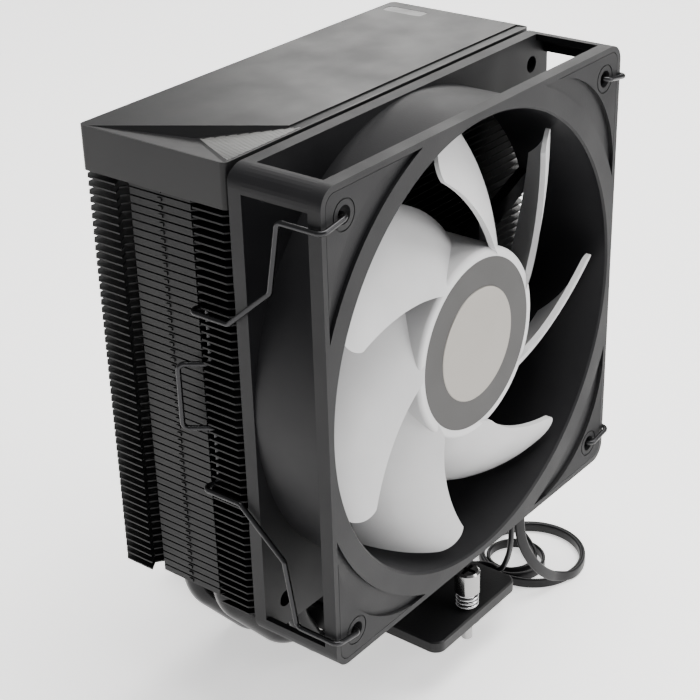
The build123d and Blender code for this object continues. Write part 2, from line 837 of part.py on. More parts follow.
def blade_section(distance):
    """Plane and corner points of the blade's curved section at this distance."""
    middle = (lead_angle(distance) + trail_angle(distance)) / 2
    out = Vector(sin(radians(middle)), 0, cos(radians(middle)))
    along = Vector(cos(radians(middle)), 0, -sin(radians(middle)))
    plane = Plane(origin=out * distance + Vector(0, 0, fan_centre_z), x_dir=along, z_dir=out)
    u0, v0 = edge_point(distance, middle, lead_angle, lead_depth)
    u1, v1 = edge_point(distance, middle, trail_angle, trail_depth)
    nose = radians(blade_nose_slope)
    tail = radians(blade_tail_slope)
    reach = ((u1 - u0) * sin(tail) - (v1 - v0) * cos(tail)) / sin(tail - nose)
    bend = (u0 + reach * cos(nose), v0 + reach * sin(nose))
    t = (distance - hub_r) / (blade_tip_r - hub_r)
    half = (blade_root_t + (blade_tip_t - blade_root_t) * t) / 2
    mid = (nose + tail) / 2
    rear = [
        (u0 - half * sin(nose), v0 + half * cos(nose)),
        (bend[0] - half * sin(mid), bend[1] + half * cos(mid)),
        (u1 - half * sin(tail), v1 + half * cos(tail)),
    ]
    front = [
        (u1 + half * sin(tail), v1 - half * cos(tail)),
        (bend[0] + half * sin(mid), bend[1] - half * cos(mid)),
        (u0 + half * sin(nose), v0 - half * cos(nose)),
    ]
    return plane, rear, front


def plan_point(r, angle):
    """Point of the front view at radius r, angle clockwise from the top."""
    return r * sin(radians(angle)), r * cos(radians(angle))


def edge_curve(angle_at, spread):
    """Front view of a blade edge from inside the hub to the tip, moved by spread."""
    steps = 8
    inner = hub_r - hub_wall / 2
    stations = [inner + (blade_tip_r - inner) * i / steps for i in range(steps + 1)]
    return [plan_point(r, angle_at(r) + degrees(spread / r)) for r in stations]


with BuildSketch() as blade_outline:
    lead_curve = edge_curve(lead_angle, -blade_margin)
    trail_curve = edge_curve(trail_angle, blade_margin)
    tip_middle = plan_point(blade_tip_r, (lead_angle(blade_tip_r) + trail_angle(blade_tip_r)) / 2)
    with BuildLine():
        Spline(*lead_curve)
        ThreePointArc(lead_curve[-1], tip_middle, trail_curve[-1])
        Spline(*reversed(trail_curve))
        Line(trail_curve[0], lead_curve[0])
    make_face()
    tip_corners = blade_outline.vertices().group_by(lambda v: round(sqrt(v.X**2 + v.Y**2)))[-1]
    fillet(tip_corners.sort_by(Axis.X)[0], blade_nose_round)
    tail = Vector(*trail_curve[-1])
    tip_corners = blade_outline.vertices().filter_by(lambda v: (Vector(v) - tail).length < blade_margin)
    fillet(tip_corners, blade_tail_round)

with BuildPart() as blade:
    section_count = 7
    first_section = hub_r - 4
    last_section = blade_tip_r + 2
    for step in range(section_count):
        station = first_section + (last_section - first_section) * step / (section_count - 1)
        plane, rear, front = blade_section(station)
        with BuildSketch(plane):
            with BuildLine():
                Bezier(*rear)
                Line(rear[-1], front[0])
                Bezier(*front)
                Line(front[-1], rear[0])
            make_face()
    loft()
    with BuildSketch(fan_plane(fan_rear_y)):
        add(blade_outline.sketch)
    extrude(amount=fan_depth, mode=Mode.INTERSECT)

with BuildPart() as impeller:
    with BuildSketch(fan_plane(hub_rear_y)):
        Circle(hub_r)
    extrude(amount=hub_rear_y - hub_front_y)
    fillet(impeller.faces().sort_by(Axis.Y)[0].edges(), hub_edge)
    for number in range(blade_count):
        add(blade.part.rotate(fan_axis, 360 / blade_count * number))
    with BuildSketch(fan_plane(hub_rear_y)):
        Circle(hub_bore_r)
    extrude(amount=hub_rear_y - cup_front_y, mode=Mode.SUBTRACT)
    with BuildSketch(fan_plane(hub_front_y)):
        Circle(ring_label_r)
    extrude(amount=-ring_label_t, mode=Mode.SUBTRACT)
save(impeller, "impeller")

with BuildPart() as hub_ring:
    with BuildSketch(fan_plane(hub_front_y + ring_label_t)):
        Circle(ring_label_r - press_gap)
        Circle(disc_r + press_gap, mode=Mode.SUBTRACT)
    extrude(amount=ring_label_t)
save(hub_ring, "hub_ring")

with BuildPart() as hub_disc:
    with BuildSketch(fan_plane(hub_front_y + ring_label_t)):
        Circle(disc_r)
    extrude(amount=disc_height)
    chamfer(hub_disc.faces().sort_by(Axis.Y)[0].edges(), disc_edge)
save(hub_disc, "hub_disc")

cup_rear_y = hub_rear_y - cup_recess
with BuildPart() as rotor_cup:
    with BuildSketch(fan_plane(cup_rear_y)):
        Circle(hub_bore_r - press_gap)
    extrude(amount=cup_rear_y - cup_front_y)
    with BuildSketch(fan_plane(cup_rear_y)):
        Circle(hub_bore_r - press_gap - cup_wall)
    extrude(amount=cup_rear_y - cup_front_y - cup_wall, mode=Mode.SUBTRACT)
    with BuildSketch(fan_plane(cup_rear_y)):
        Circle(shaft_r + press_gap)
    extrude(amount=cup_rear_y - cup_front_y, mode=Mode.SUBTRACT)
save(rotor_cup, "rotor_cup")

with BuildPart() as rotor_magnet:
    with BuildSketch(fan_plane(cup_rear_y - magnet_inset)):
        Circle(hub_bore_r - 2 * press_gap - cup_wall)
        Circle(magnet_bore, mode=Mode.SUBTRACT)
    extrude(amount=cup_rear_y - cup_front_y - magnet_inset - magnet_gap)
save(rotor_magnet, "rotor_magnet")

shaft_rear_y = fan_rear_y - shaft_gap
washer_y = tube_front_y + bearing_length + washer_gap
with BuildPart() as rotor_shaft:
    with BuildSketch(fan_plane(shaft_rear_y)):
        Circle(shaft_r)
    extrude(amount=shaft_rear_y - cup_front_y)
    with BuildSketch(fan_plane(washer_y)):
        Circle(2 * shaft_r)
        Circle(shaft_r * neck_share, mode=Mode.SUBTRACT)
    extrude(amount=neck_width, mode=Mode.SUBTRACT)
save(rotor_shaft, "rotor_shaft")

with BuildPart() as shaft_washer:
    with BuildSketch(fan_plane(washer_y - (neck_width - washer_thickness) / 2)):
        Circle(bearing_tube_bore - washer_fit)
        Circle(shaft_r * neck_share + press_gap, mode=Mode.SUBTRACT)
    extrude(amount=washer_thickness)
save(shaft_washer, "shaft_washer")

# ---- wire clips --------------------------------------------------------------


def wire_clip(side):
    """One clip from its top hook to its bottom hook: arm, notch, handle, notch, arm."""
    wire_r = wire_d / 2
    face_y = fan_front_y - wire_clear - wire_r
    flank_x = fan_size / 2 + wire_clear + wire_r
    upper_half = [
        (hole_offset, face_y + hook_depth, hole_offset),
        (hole_offset, face_y, hole_offset),
        (flank_x, face_y, clip_arm),
        (flank_x, fan_front_y + clip_arm_reach, clip_arm),
        (flank_x, fan_front_y + clip_knee_reach, clip_knee),
        (flank_x, fan_rear_y + wire_bend, clip_high),
        (flank_x, -clip_flank_y, clip_high),
        (clip_axis_x, -clip_axis_y, clip_high),
        (clip_axis_x, -clip_axis_y, clip_handle),
        (flank_x, -clip_handle_y, clip_handle),
    ]
    points = upper_half + [(x, y, -z) for x, y, z in reversed(upper_half)]
    with BuildPart() as clip:
        with BuildLine() as path:
            FilletPolyline(*[(side * x, y, fan_centre_z + z) for x, y, z in points], radius=wire_bend)
        with BuildSketch(Plane(origin=path.line @ 0, z_dir=path.line % 0)):
            Circle(wire_r)
        sweep(transition=Transition.ROUND)
    return clip


for place, side in (("left", -1), ("right", 1)):
    save(wire_clip(side), f"wire_clip_{place}")

# ---- leads: tubes by hand-set points, coils and plugs -------------------------


def cord(points, diameter):
    """Round lead: straight runs joined by tangent arcs as large as the runs allow."""
    spots = [Vector(*p) for p in points]
    radii = []
    for before, here, after in zip(spots, spots[1:], spots[2:]):
        turn = (here - before).get_angle(after - here)
        shorter = min((here - before).length, (after - here).length)
        radii.append(0.45 * shorter / tan(radians(turn / 2)))
    with BuildPart() as tube:
        with BuildLine() as path:
            FilletPolyline(*points, radius=radii)
        with BuildSketch(Plane(origin=path.line @ 0, z_dir=path.line % 0)):
            Circle(diameter / 2)
        sweep()
    length = sum(edge.length for edge in path.edges())
    expected = length * pi * diameter**2 / 4
    print("radii", [round(r, 1) for r in radii], "length", round(length, 1))
    print("volume over section times length", round(tube.part.volume / expected, 4))
    return tube


cable_exit_y = guide_rear_y - guide_depth / 2
cable_exit_z = fan_centre_z - fan_size / 2 - guide_drop
fan_cable_route = [
    (fan_cable_x, cable_exit_y, cable_exit_z),
    (fan_cable_x, cable_exit_y, 26.6),
    (24.2, -41.6, 19.8),
    (27.0, -38.8, 13.6),
    (29.6, -35.4, 7.4),
]
light_cable_route = [
    (light_cable_x, cable_exit_y, cable_exit_z),
    (light_cable_x, cable_exit_y, 25.2),
    (28.2, -44.4, 17.6),
    (32.2, -45.8, 11.0),
    (37.2, -46.6, 6.0),
    (41.6, -46.8, 3.2),
]
light_end_route = [
    (37.4, -36.8, 2.2),
    (42.6, -38.6, 2.2),
    (47.6, -36.4, 2.8),
    (51.0, -30.6, 4.3),
    (53.2, -24.6, 5.6),
    (55.8, -16.8, 4.9),
    (57.6, -10.8, 2.6),
    (58.4, -6.8, light_cable_d / 2 + 0.1),
]
save(cord(fan_cable_route, fan_cable_d), "fan_cable")
save(cord(light_cable_route, light_cable_d), "light_cable")
save(cord(light_end_route, light_cable_d), "light_cable_end")

with BuildPart() as fan_cable_coil:
    with BuildSketch():
        with Locations((fan_coil_x, fan_coil_y)):
            Circle(fan_coil_r)
    extrude(amount=fan_coil_h)
    fillet(fan_cable_coil.edges(), coil_edge)
save(fan_cable_coil, "fan_cable_coil")

with BuildPart() as light_cable_coil:
    with BuildSketch():
        with Locations((light_coil_x, light_coil_y)):
            Circle(light_coil_r)
            Circle(light_coil_bore, mode=Mode.SUBTRACT)
    extrude(amount=light_coil_h)
    fillet(light_cable_coil.edges().filter_by(GeomType.CIRCLE), coil_edge)
save(light_cable_coil, "light_cable_coil")


def plug(size, end, heading, pins):
    """Small flat plug whose rear face stands at end and which points along heading."""
    width, length, height = size
    across = radians(heading - 90)
    frame = Plane(origin=(end[0], end[1], 0), x_dir=(cos(across), sin(across), 0))
    with BuildPart() as body:
        with BuildSketch(frame):
            with Locations((0, length / 2)):
                RectangleRounded(width, length, plug_corner)
        extrude(amount=height)
        mouth = Plane(
            origin=frame.from_local_coords(Vector(0, length, height / 2)),
            x_dir=frame.x_dir,
            z_dir=frame.y_dir,
        )
        with BuildSketch(mouth):
            with GridLocations(plug_pitch, 1, pins, 1):
                Rectangle(plug_hole, plug_hole)
        extrude(amount=-plug_hole_depth * length, mode=Mode.SUBTRACT)
    return body


save(plug(fan_plug, (fan_coil_x - fan_coil_r + 0.3, fan_coil_y), 180, 4), "fan_connector")
save(plug(light_plug, light_plug_end, light_plug_heading, 3), "light_connector")
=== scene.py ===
import math
import bmesh
import bpy
from mathutils import Matrix, Vector


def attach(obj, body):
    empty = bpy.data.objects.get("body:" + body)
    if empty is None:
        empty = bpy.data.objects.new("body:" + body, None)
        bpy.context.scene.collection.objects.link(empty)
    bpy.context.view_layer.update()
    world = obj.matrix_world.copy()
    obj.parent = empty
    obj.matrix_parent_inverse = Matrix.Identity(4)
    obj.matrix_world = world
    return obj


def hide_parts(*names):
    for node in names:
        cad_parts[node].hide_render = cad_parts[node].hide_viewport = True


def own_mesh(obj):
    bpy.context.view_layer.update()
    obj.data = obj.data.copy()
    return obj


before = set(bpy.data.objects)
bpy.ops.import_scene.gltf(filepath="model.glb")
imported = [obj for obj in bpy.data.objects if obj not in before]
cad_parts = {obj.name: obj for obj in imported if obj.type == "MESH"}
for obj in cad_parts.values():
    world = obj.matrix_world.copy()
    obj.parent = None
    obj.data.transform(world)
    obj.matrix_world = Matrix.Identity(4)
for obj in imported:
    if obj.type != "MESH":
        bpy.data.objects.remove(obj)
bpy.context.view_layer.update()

# ---- camera ------------------------------------------------------------------
# A long lens to the left of the fan, looking down on it. The columns of the
# matrix are the camera's right, up and backward directions and its place.


def new_object(name, data):
    """Makes the object that shows this data, and puts it in the scene."""
    made = bpy.data.objects.new(name, data)
    bpy.context.collection.objects.link(made)
    return made


camera_data = bpy.data.cameras.new("camera")
camera_data.sensor_width = 36.0
camera_data.lens = 85.64
camera = new_object("camera", camera_data)
camera.matrix_world = Matrix((
    (0.61503, 0.37752, -0.69225, -0.2984),
    (-0.78806, 0.26497, -0.55565, -0.2464),
    (-0.02635, 0.88728, 0.46048, 0.2800),
    (0.0, 0.0, 0.0, 1.0),
))
bpy.context.scene.camera = camera

# ---- fan lead ----------------------------------------------------------------
# A thin round black lead in soft PVC. It comes straight down out of the guide
# under the fan frame and is wound into a small bundle, with its plug beside it.


def grain_group():
    """Fine surface grain, and broad soft patches of it."""
    group = bpy.data.node_groups.new("fine_grain", "ShaderNodeTree")
    group.interface.new_socket("Vector", in_out="INPUT", socket_type="NodeSocketVector")
    group.interface.new_socket("Size", in_out="INPUT", socket_type="NodeSocketFloat")
    group.interface.new_socket("Height", in_out="OUTPUT", socket_type="NodeSocketFloat")
    group.interface.new_socket("Mottle", in_out="OUTPUT", socket_type="NodeSocketFloat")
    nodes, links = group.nodes, group.links
    entry = nodes.new("NodeGroupInput")
    leave = nodes.new("NodeGroupOutput")
    grain = nodes.new("ShaderNodeTexNoise")
    grain.inputs["Detail"].default_value = 2.0
    links.new(entry.outputs["Vector"], grain.inputs["Vector"])
    links.new(entry.outputs["Size"], grain.inputs["Scale"])
    links.new(grain.outputs["Fac"], leave.inputs["Height"])
    # the patches are forty times as broad as the grain
    broad_size = nodes.new("ShaderNodeMath")
    broad_size.operation = "MULTIPLY"
    broad_size.inputs[1].default_value = 0.025
    links.new(entry.outputs["Size"], broad_size.inputs[0])
    broad = nodes.new("ShaderNodeTexNoise")
    broad.inputs["Detail"].default_value = 4.0
    links.new(entry.outputs["Vector"], broad.inputs["Vector"])
    links.new(broad_size.outputs[0], broad.inputs["Scale"])
    links.new(broad.outputs["Fac"], leave.inputs["Mottle"])
    return group


fine_grain = grain_group()


def finish(name, shade, colour, roughness, grain, relief, metallic=0.0, spread=0.08, stretch=(1, 1, 1)):
    """A grained finish that drifts from shade to colour, stretched where it is brushed."""
    material = bpy.data.materials.new(name)
    material.use_nodes = True
    nodes, links = material.node_tree.nodes, material.node_tree.links
    shader = nodes["Principled BSDF"]
    shader.inputs["Metallic"].default_value = metallic
    shader.inputs["Specular IOR Level"].default_value = 0.22
    place = nodes.new("ShaderNodeTexCoord")
    scale = nodes.new("ShaderNodeMapping")
    scale.inputs["Scale"].default_value = stretch
    links.new(place.outputs["Object"], scale.inputs["Vector"])
    surface = nodes.new("ShaderNodeGroup")
    surface.node_tree = fine_grain
    surface.inputs["Size"].default_value = grain
    links.new(scale.outputs["Vector"], surface.inputs["Vector"])
    tint = nodes.new("ShaderNodeMix")
    tint.data_type = "RGBA"
    # sockets 6 and 7 are the Mix node's two colours, and output 2 the mixed one
    tint.inputs[6].default_value = (*shade, 1.0)
    tint.inputs[7].default_value = (*colour, 1.0)
    links.new(surface.outputs["Mottle"], tint.inputs[0])
    links.new(tint.outputs[2], shader.inputs["Base Color"])
    gloss = nodes.new("ShaderNodeMapRange")
    gloss.inputs["From Min"].default_value = 0.3
    gloss.inputs["From Max"].default_value = 0.7
    gloss.inputs["To Min"].default_value = roughness - spread
    gloss.inputs["To Max"].default_value = roughness + spread
    links.new(surface.outputs["Mottle"], gloss.inputs["Value"])
    links.new(gloss.outputs["Result"], shader.inputs["Roughness"])
    bump = nodes.new("ShaderNodeBump")
    bump.inputs["Strength"].default_value = 0.6
    bump.inputs["Distance"].default_value = relief
    links.new(surface.outputs["Height"], bump.inputs["Height"])
    links.new(bump.outputs["Normal"], shader.inputs["Normal"])
    return material


def paint(material, *nodes):
    """Gives CAD nodes this finish."""
    for name in nodes:
        for material_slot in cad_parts[name].material_slots:
            material_slot.material = material


def lead(name, points, half_width, half_thickness):
    """One smooth free line through its control points, round or flat on edge."""
    curve = bpy.data.curves.new(name, "CURVE")
    curve.dimensions = "3D"
    curve.twist_mode = "Z_UP"
    curve.resolution_u = 8
    curve.bevel_depth = half_thickness
    curve.bevel_resolution = 3
    curve.extrude = half_width - half_thickness
    curve.use_fill_caps = True
    spline = curve.splines.new("NURBS")
    spline.points.add(len(points) - 1)
    for spot, point in zip(spline.points, points):
        spot.co = (*point, 1.0)
    spline.order_u = 3
    spline.use_endpoint_u = True
    return new_object(name, curve)


def turn(centre, radius, angle, z):
    """A point of a coil: its angle in degrees, counted anticlockwise from +X."""
    return (
        centre[0] + radius * math.cos(math.radians(angle)),
        centre[1] + radius * math.sin(math.radians(angle)),
        z,
    )


cable_black = finish("cable_black", shade=(0.004, 0.004, 0.005), colour=(0.008, 0.008, 0.009),
                     roughness=0.36, grain=1800.0, relief=0.00002)

fan_lead_points = [
    (0.0222, -0.04325, 0.0325),
    (0.0222, -0.04325, 0.0266),
    (0.0242, -0.0416, 0.0198),
    (0.0270, -0.0388, 0.0136),
    (0.0296, -0.0354, 0.0074),
]
fan_coil_centre = (0.0240, -0.0320)
fan_coil_step = 24.0
# each column of turns: its radius, the heights where it starts and ends, its steps
fan_coil_columns = (
    (0.0067, 0.0071, 0.0027, 42),
    (0.0050, 0.0027, 0.0071, 42),
    (0.0033, 0.0071, 0.0027, 36),
)
fan_coil_angle = -18.0
for radius, first_height, last_height, steps in fan_coil_columns:
    for step in range(steps):
        fan_coil_angle += fan_coil_step
        height = first_height + (last_height - first_height) * step / (steps - 1)
        fan_lead_points.append(turn(fan_coil_centre, radius, fan_coil_angle, height))
inner_radius = fan_coil_columns[-1][0]
inner_height = 0.0015
leave_angle = 90
while not leave_angle <= fan_coil_angle % 360 <= leave_angle + fan_coil_step:
    fan_coil_angle += fan_coil_step
    fan_lead_points.append(turn(fan_coil_centre, inner_radius, fan_coil_angle, inner_height))
fan_lead_points += [
    (0.0213, -0.0290, 0.0009),
    (0.0196, -0.0306, 0.0009),
    (0.0180, -0.0320, 0.0011),
    (0.0164, -0.0320, 0.0013),
]
fan_lead = lead("fan_lead", fan_lead_points, half_width=0.0008, half_thickness=0.0008)
fan_lead.data.materials.append(cable_black)
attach(fan_lead, "tower")
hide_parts("fan_cable", "fan_cable_coil")

# ---- light lead --------------------------------------------------------------
# The flat lead of the fan's lights, standing on its edge. It lies in
# two loose turns and a small inner loop, then crosses them to its flat plug.

light_lead_points = [
    (0.0260, -0.04325, 0.0325),
    (0.0260, -0.04325, 0.0252),
    (0.0282, -0.0444, 0.0176),
    (0.0322, -0.0458, 0.0110),
    (0.0372, -0.0466, 0.0060),
    (0.0416, -0.0468, 0.0032),
]
light_coil_centre = (0.0486, -0.0335)
inner_loop_centre = (0.0437, -0.0306)
lead_bed = 0.0016
ring_first_radius = 0.0155
ring_narrowing = 0.0013
ring_first_angle = 262
ring_step = 22
ring_steps = 30
for step in range(ring_steps):
    radius = ring_first_radius - ring_narrowing * step / ring_steps
    light_lead_points.append(
        turn(light_coil_centre, radius, ring_first_angle + ring_step * step, lead_bed)
    )
loop_first_radius = 0.0094
loop_narrowing = 0.0032
loop_first_angle = 222
loop_step = 28
loop_steps = 17
loop_flat_steps = 12
loop_rise = 0.0003
for step in range(loop_steps):
    radius = loop_first_radius - loop_narrowing * step / loop_steps
    height = lead_bed + max(0.0, step - loop_flat_steps) * loop_rise
    light_lead_points.append(
        turn(inner_loop_centre, radius, loop_first_angle + loop_step * step, height)
    )
light_lead_points += [
    (0.0510, -0.0306, 0.0043),
    (0.0532, -0.0246, 0.0056),
    (0.0558, -0.0168, 0.0049),
    (0.0576, -0.0108, 0.0026),
    (0.0584, -0.0068, 0.0016),
]
light_lead = lead("light_lead", light_lead_points, half_width=0.0015, half_thickness=0.0005)
light_lead.data.materials.append(cable_black)
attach(light_lead, "tower")
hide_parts("light_cable", "light_cable_coil", "light_cable_end")

# ---- plugs -------------------------------------------------------------------
# Small plugs moulded in black nylon, one at the end of each lead, with the
# slightly rough skin of a moulding.

plug_black = finish("plug_black", shade=(0.005, 0.005, 0.005), colour=(0.010, 0.010, 0.011),
                    roughness=0.48, grain=2200.0, relief=0.00003)
paint(plug_black, "fan_connector", "light_connector")

# ---- base: cold plate and cap ------------------------------------------------
# The plate is machined and plated metal with fine milling lines across it; the
# cap that clamps the pipes onto it is metal painted black.

bare_plate = finish("bare_plate", shade=(0.50, 0.49, 0.47), colour=(0.66, 0.65, 0.63),
                    roughness=0.26, grain=900.0, relief=0.000012, metallic=1.0, stretch=(0.05, 4.0, 1.0))
paint(bare_plate, "cold_plate")
black_base = finish("black_base", shade=(0.006, 0.006, 0.006), colour=(0.013, 0.013, 0.014),
                    roughness=0.36, grain=1600.0, relief=0.00002, metallic=0.4)
paint(black_base, "base_cap")

# ---- heat pipes --------------------------------------------------------------
# Four bent copper tubes, black plated after bending and pressed through the
# fins. The plating is satin, in soft lighter and darker patches.

pipe_black = finish("pipe_black", shade=(0.016, 0.016, 0.017), colour=(0.032, 0.032, 0.032),
                    roughness=0.30, grain=700.0, relief=0.00001, metallic=0.7)
paint(pipe_black, "heat_pipe_1", "heat_pipe_2", "heat_pipe_3", "heat_pipe_4")

# ---- fin stack ---------------------------------------------------------------
# Pressed aluminium sheets under a thin black coat, pushed onto the heat pipes.
# The coat is satin, and its grain is drawn out a little along the sheet.

black_fins = finish("black_fins", shade=(0.005, 0.005, 0.005), colour=(0.011, 0.011, 0.012),
                    roughness=0.40, grain=1400.0, relief=0.00002, metallic=0.35, stretch=(0.3, 1.0, 1.0))
paint(black_fins, "fin_stack")

# ---- top cover ---------------------------------------------------------------
# A satin black moulding with a very fine grain, pushed onto the ends of the
# heat pipes. Its sunk corner is part of it.

cover_plastic = finish("cover_plastic", shade=(0.006, 0.006, 0.006), colour=(0.010, 0.010, 0.011),
                       roughness=0.40, grain=3200.0, relief=0.00002, spread=0.05)
paint(cover_plastic, "top_cover")

# ---- ribbed trim and badge ---------------------------------------------------
# A stamped metal plate with fine ribs and a brushed silver face, set into the
# front facet. The badge is a plain glossy insert with nothing printed on it.

silver_trim = finish("silver_trim", shade=(0.30, 0.30, 0.30), colour=(0.52, 0.52, 0.51),
                     roughness=0.32, grain=2400.0, relief=0.00001, metallic=0.85, stretch=(1.0, 0.1, 1.0))
paint(silver_trim, "ribbed_trim")
badge_black = finish("badge_black", shade=(0.010, 0.010, 0.011), colour=(0.018, 0.018, 0.019),
                     roughness=0.22, grain=2600.0, relief=0.000005)
paint(badge_black, "cover_badge")

# ---- mounting bar and its screws ---------------------------------------------
# Stamped steel under black powder coat with a slightly uneven surface. The
# four screws that hold it down have the same finish.

black_steel = finish("black_steel", shade=(0.004, 0.004, 0.005), colour=(0.009, 0.009, 0.009),
                     roughness=0.44, grain=1500.0, relief=0.00006)
paint(black_steel, "mounting_bar", "bar_screws")

# ---- spring screws -----------------------------------------------------------
# Chromed steel screws through the ends of the bar, each held by an open ring
# in its groove under the bar.

chrome = finish("chrome", shade=(0.22, 0.22, 0.22), colour=(0.40, 0.395, 0.39),
                roughness=0.16, grain=900.0, relief=0.00001, metallic=1.0, spread=0.05)
paint(chrome, "spring_screw_front", "spring_screw_rear")
ring_steel = finish("ring_steel", shade=(0.30, 0.30, 0.31), colour=(0.46, 0.46, 0.47),
                    roughness=0.30, grain=1500.0, relief=0.00001, metallic=1.0)
paint(ring_steel, "retaining_ring_front", "retaining_ring_rear")

# ---- springs -----------------------------------------------------------------
# Open coils of bright spring wire between the bar and the screw's head. On the
# real cooler they close up as the screw is pressed down; here each is one fixed
# coil carried with the tower.

spring_wire_r = 0.0004
spring_r = 0.0027
spring_turns = 3.7
spring_low = 0.0168
spring_high = 0.02115
spring_steps = 120
spring_steel = finish("spring_steel", shade=(0.42, 0.42, 0.43), colour=(0.66, 0.66, 0.67),
                      roughness=0.20, grain=1500.0, relief=0.00001, metallic=1.0)


def mesh_object(name, form):
    """Turns a finished bmesh into an object."""
    mesh = bpy.data.meshes.new(name)
    form.to_mesh(mesh)
    form.free()
    return new_object(name, mesh)


def coil_spring(name, y, node):
    """A round wire section spun up a helix, closed at both ends."""
    form = bmesh.new()
    section = bmesh.ops.create_circle(form, cap_ends=True, segments=12, radius=spring_wire_r)
    upright = Matrix.Rotation(math.pi / 2, 3, "X")
    bmesh.ops.rotate(form, verts=section["verts"], cent=(0, 0, 0), matrix=upright)
    bmesh.ops.translate(form, verts=section["verts"], vec=(spring_r, y, spring_low))
    bmesh.ops.spin(
        form, geom=form.verts[:] + form.edges[:] + form.faces[:], cent=(0, y, 0), axis=(0, 0, 1),
        dvec=(0, 0, (spring_high - spring_low) / spring_steps), angle=2 * math.pi * spring_turns,
        steps=spring_steps, use_duplicate=False,
    )
    bmesh.ops.recalc_face_normals(form, faces=form.faces[:])
    for face in form.faces:
        face.smooth = True
    piece = mesh_object(name, form)
    piece.data.materials.append(spring_steel)
    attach(piece, "tower")
    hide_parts(node)
    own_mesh(piece)


coil_spring("coil_spring_front", -0.044, "spring_front")
coil_spring("coil_spring_rear", 0.044, "spring_rear")

# ---- fan frame ---------------------------------------------------------------
# Glass-filled black plastic moulded in one piece with a fine even texture. The
# cable guide under it is the same plastic.

frame_plastic = finish("frame_plastic", shade=(0.004, 0.004, 0.005), colour=(0.008, 0.008, 0.009),
                       roughness=0.52, grain=3000.0, relief=0.00004, spread=0.05)
paint(frame_plastic, "fan_frame", "cable_guide")

# ---- corner walls of the fan frame -------------------------------------------
# At each corner a short rounded wall of the same plastic joins the two flanges
# and leaves the sides between the corners open.

frame_half = 0.060
corner_r = 0.0045
corner_steps = 8
corner_wall = 0.0016
corner_leg = 0.0010
corner_front_y = -0.0450
corner_rear_y = -0.0270
fan_centre_z = 0.095
bend_centre = (corner_r - frame_half, corner_front_y, fan_centre_z + frame_half - corner_r)


def kind(parts, sort):
    """The parts of one sort, vertices or edges, out of what an operator returned."""
    return [part for part in parts if isinstance(part, sort)]


walls = bmesh.new()
outer = walls.verts.new((-frame_half, corner_front_y, fan_centre_z + frame_half - corner_r - corner_leg))
inner = walls.verts.new((corner_wall - frame_half, corner_front_y, outer.co.z))
section_edge = walls.edges.new((outer, inner))
leg = bmesh.ops.extrude_edge_only(walls, edges=[section_edge])["geom"]
leg_verts = kind(leg, bmesh.types.BMVert)
bmesh.ops.translate(walls, verts=leg_verts, vec=(0, 0, corner_leg))
leg_end = [edge for edge in kind(leg, bmesh.types.BMEdge) if set(edge.verts) == set(leg_verts)]
bend = bmesh.ops.spin(
    walls, geom=leg_end, cent=bend_centre, axis=(0, 1, 0), dvec=(0, 0, 0), angle=math.pi / 2,
    steps=corner_steps, use_duplicate=False,
)["geom_last"]
leg = bmesh.ops.extrude_edge_only(walls, edges=kind(bend, bmesh.types.BMEdge))["geom"]
bmesh.ops.translate(walls, verts=kind(leg, bmesh.types.BMVert), vec=(corner_leg, 0, 0))
deep = bmesh.ops.extrude_face_region(walls, geom=walls.faces[:])["geom"]
wall_depth = (0, corner_rear_y - corner_front_y, 0)
bmesh.ops.translate(walls, verts=kind(deep, bmesh.types.BMVert), vec=wall_depth)
one_corner = walls.verts[:] + walls.edges[:] + walls.faces[:]
for quarter in (1, 2, 3):
    corner = bmesh.ops.duplicate(walls, geom=one_corner)["geom"]
    bmesh.ops.rotate(
        walls, verts=kind(corner, bmesh.types.BMVert), cent=(0.0, 0.0, fan_centre_z),
        matrix=Matrix.Rotation(quarter * math.pi / 2, 3, "Y"),
    )
bmesh.ops.recalc_face_normals(walls, faces=walls.faces[:])
frame_corner_walls = mesh_object("frame_corner_walls", walls)
frame_corner_walls.data.materials.append(frame_plastic)
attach(frame_corner_walls, "tower")

# ---- corner pads -------------------------------------------------------------
# Soft rubber pads that damp the fan, a shade lighter than the frame and quite
# dull, with a fine dusty surface.

pad_rubber = finish("pad_rubber", shade=(0.010, 0.010, 0.011), colour=(0.018, 0.018, 0.019),
                    roughness=0.66, grain=2400.0, relief=0.00004)
paint(pad_rubber, "corner_pads_front", "corner_pads_rear")

# ---- bearing and stator ------------------------------------------------------
# A brass bearing tube with its sleeve and thrust cap, a stack of thin steel
# sheets, and the windings of enamelled copper wire round them.

bearing_brass = finish("bearing_brass", shade=(0.50, 0.36, 0.14), colour=(0.66, 0.50, 0.24),
                       roughness=0.30, grain=1500.0, relief=0.00001, metallic=1.0, stretch=(1, 0.1, 1))
paint(bearing_brass, "bearing_tube", "sleeve_bearing", "thrust_cap")
laminations = finish("laminations", shade=(0.20, 0.20, 0.21), colour=(0.42, 0.42, 0.43),
                     roughness=0.42, grain=900.0, relief=0.00006, metallic=0.9, stretch=(0.05, 3.0, 0.05))
paint(laminations, "stator_core")
copper_wire = finish("copper_wire", shade=(0.38, 0.12, 0.04), colour=(0.66, 0.27, 0.11),
                     roughness=0.30, grain=700.0, relief=0.00015, metallic=0.9, stretch=(0.2, 4.0, 0.2))
paint(copper_wire, "stator_windings")

# ---- circuit board, lights, label and motor lead -----------------------------
# A ring of black glass-fibre board with six small white lights round its edge,
# a blank foil label on the back, and the flat lead out along one strut.

